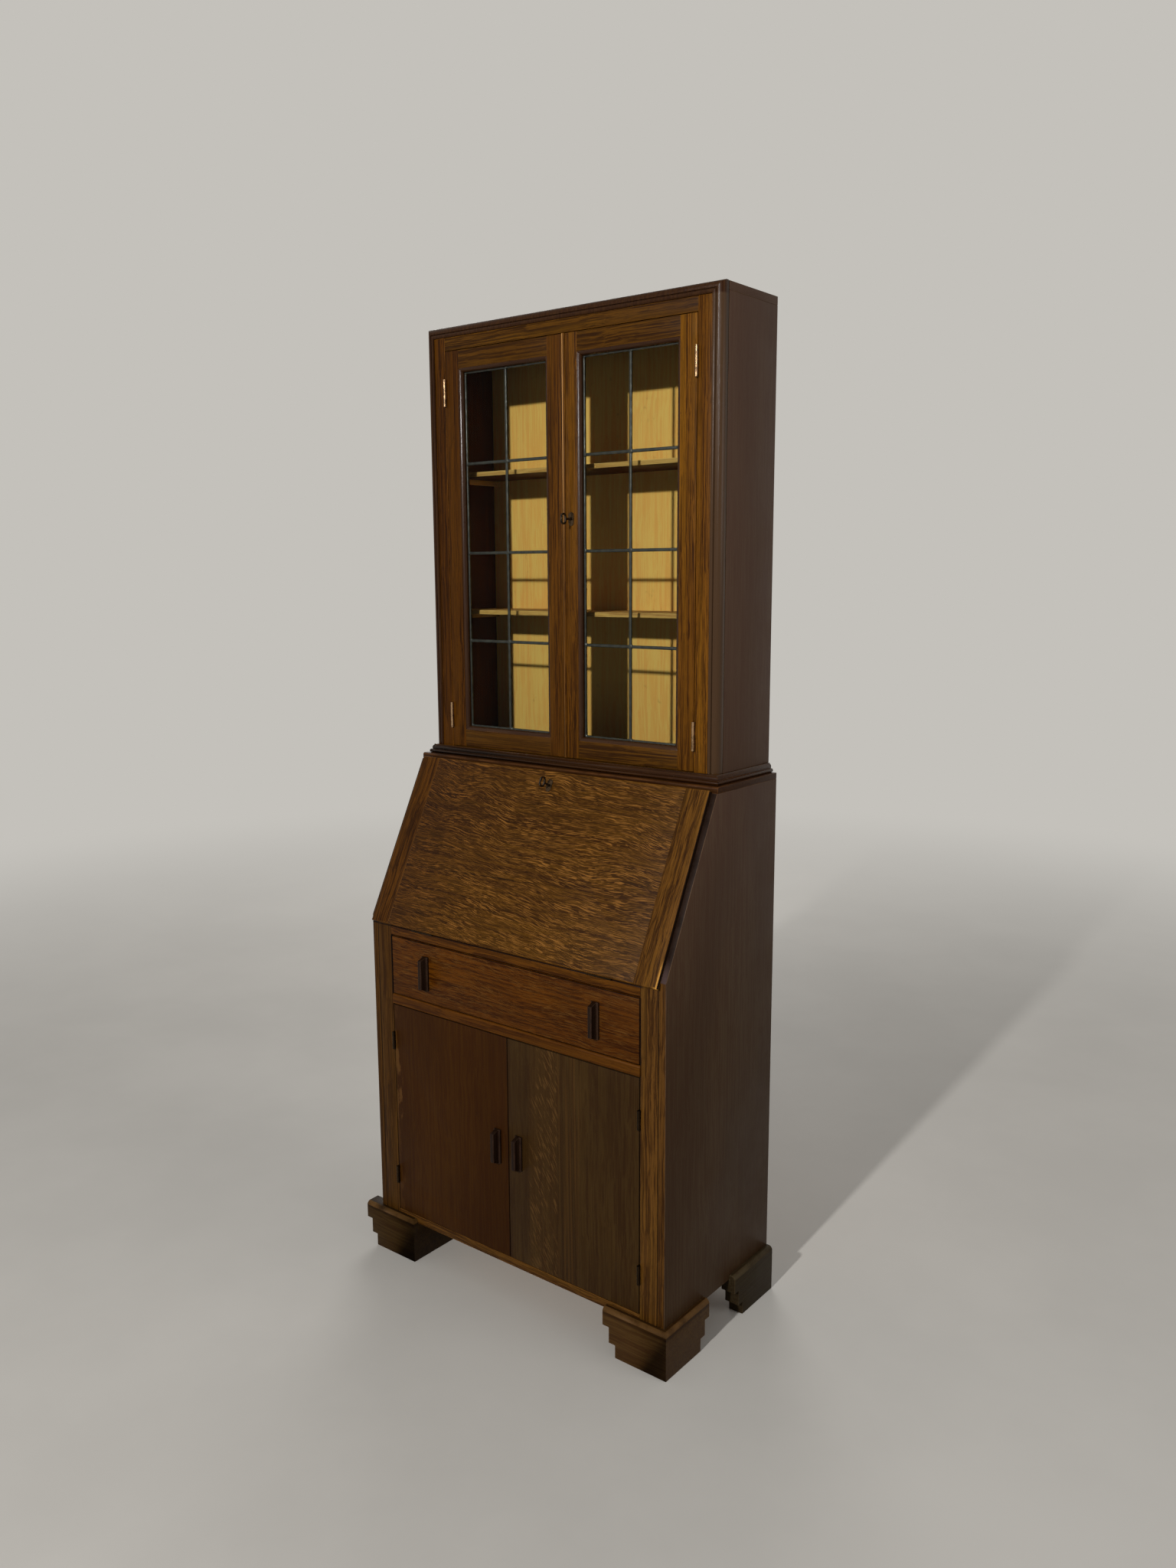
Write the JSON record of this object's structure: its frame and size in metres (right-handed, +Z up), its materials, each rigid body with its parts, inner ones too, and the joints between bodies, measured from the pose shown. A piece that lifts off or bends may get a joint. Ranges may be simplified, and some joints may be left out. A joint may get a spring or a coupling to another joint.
{
  "type": "secretary cabinet",
  "caption": "Oak bureau bookcase: sloping fall front on quadrant stays, long drawer and cupboard on stepped bracket feet, with a leaded glass bookcase on top.",
  "frame": {"origin": "on the floor under the middle of the overall box, which the odd left foot and the handles widen", "axes": "+Z up, front towards -Y, +X to the right for someone facing the front"},
  "size_m": [0.81, 0.395, 1.975],
  "materials": {
    "oak_side": "dark purple-brown stained and waxed oak, satin",
    "oak_frame": "warm brown waxed oak, satin, lighter on worn edges",
    "oak_fall": "quarter-sawn oak with pale ray fleck, satin",
    "oak_drawer": "quarter-sawn oak with pale ray fleck, satin",
    "oak_door_left": "dark red-brown oak, satin",
    "oak_door_right": "olive-brown quarter-sawn oak, satin",
    "oak_glazed_door": "mid-brown waxed oak, satin",
    "oak_handle": "near-black stained oak, satin",
    "pine": "plain softwood, matt",
    "plywood": "plain birch plywood, matt",
    "lead": "dull grey-green lead, matt",
    "glass": "clear drawn sheet glass",
    "brass": "aged brass, satin",
    "steel": "dull worn steel"
  },
  "bodies": {
    "cabinet": {"desk_side_left": "oak_side", "desk_side_right": "oak_side", "desk_stiles": "oak_frame", "fall_rail": "oak_frame", "drawer_rail": "oak_frame", "base_rail": "oak_frame", "desk_top": "oak_frame", "desk_back": "plywood", "writing_board": "pine", "side_battens": "pine", "cupboard_shelf": "pine", "cupboard_floor": "pine", "foot_front_right": "oak_frame", "foot_front_left": "oak_frame", "feet_back": "oak_frame", "pigeonhole_rack": "pine", "stay_guides": "brass", "hutch_side_left": "oak_side", "hutch_side_right": "oak_side", "hutch_top": "oak_frame", "hutch_floor": "oak_frame", "hutch_edge_moulding": "oak_frame", "hutch_stiles": "oak_frame", "hutch_top_rail": "oak_frame", "waist_moulding": "oak_frame", "hutch_back": "plywood", "hutch_shelves": "pine", "shelf_cleats": "pine", "frame_hinge_leaves": "brass"},
    "fall": {"fall_panel": "oak_fall", "fall_clamps": "oak_fall", "fall_hinge_leaves": "brass", "fall_stays": "brass", "fall_lock": "brass"},
    "fall_key": {"fall_key": "steel"},
    "fall_bolt": {"fall_bolt": "steel"},
    "drawer": {"drawer_front": "oak_drawer", "drawer_sides": "pine", "drawer_back": "pine", "drawer_bottom": "plywood", "drawer_handles": "oak_handle"},
    "lower_left_door": {"lower_door_left": "oak_door_left", "lower_handle_left": "oak_handle", "lower_left_hinge_leaves": "brass"},
    "lower_right_door": {"lower_door_right": "oak_door_right", "lower_handle_right": "oak_handle", "lower_right_hinge_leaves": "brass"},
    "upper_left_door": {"upper_left_stiles": "oak_glazed_door", "upper_left_rails": "oak_glazed_door", "upper_left_cames": "lead", "upper_left_glass": "glass", "upper_left_hinge_leaves": "brass"},
    "upper_right_door": {"upper_right_stiles": "oak_glazed_door", "upper_right_rails": "oak_glazed_door", "upper_right_cames": "lead", "upper_right_glass": "glass", "upper_right_hinge_leaves": "brass", "door_lock": "brass"},
    "door_key": {"door_key": "steel"},
    "door_bolt": {"door_bolt": "steel"}
  },
  "joints": [
    {"name": "fall_hinge", "type": "hinge", "parent": "cabinet", "child": "fall", "pos_m": [0.011, -0.1783, 0.746], "axis": [1, 0, 0], "range_deg": [0, 116.7]},
    {"name": "fall_key_turn", "type": "hinge", "parent": "fall", "child": "fall_key", "pos_m": [0.011, -0.03919, 1.0582], "axis": [0, -0.8934, 0.4493], "range_deg": [0, 90]},
    {"name": "fall_bolt_slide", "type": "slide", "parent": "fall", "child": "fall_bolt", "axis": [0, 0.4493, 0.8934], "range_m": [0, 0.01]},
    {"name": "drawer_slide", "type": "slide", "parent": "cabinet", "child": "drawer", "axis": [0, -1, 0], "range_m": [0, 0.255]},
    {"name": "lower_left_hinge", "type": "hinge", "parent": "cabinet", "child": "lower_left_door", "pos_m": [-0.31225, -0.1808, 0.3375], "axis": [0, 0, -1], "range_deg": [0, 110]},
    {"name": "lower_right_hinge", "type": "hinge", "parent": "cabinet", "child": "lower_right_door", "pos_m": [0.33425, -0.1808, 0.3375], "axis": [0, 0, 1], "range_deg": [0, 110]},
    {"name": "upper_left_hinge", "type": "hinge", "parent": "cabinet", "child": "upper_left_door", "pos_m": [-0.29925, 0.00622, 1.518], "axis": [0, 0, -1], "range_deg": [0, 110]},
    {"name": "upper_right_hinge", "type": "hinge", "parent": "cabinet", "child": "upper_right_door", "pos_m": [0.32125, 0.00622, 1.518], "axis": [0, 0, 1], "range_deg": [0, 110]},
    {"name": "door_key_turn", "type": "hinge", "parent": "upper_right_door", "child": "door_key", "pos_m": [0.0325, 0.00952, 1.579], "axis": [0, -1, 0], "range_deg": [0, 90]},
    {"name": "door_bolt_slide", "type": "slide", "parent": "upper_right_door", "child": "door_bolt", "axis": [-1, 0, 0], "range_m": [0, 0.007]}
  ],
  "couplings": [
    {"joint": "fall_bolt_slide", "follows": "fall_key_turn", "m_per_rad": 0.006366},
    {"joint": "door_bolt_slide", "follows": "door_key_turn", "m_per_rad": 0.004456}
  ]
}
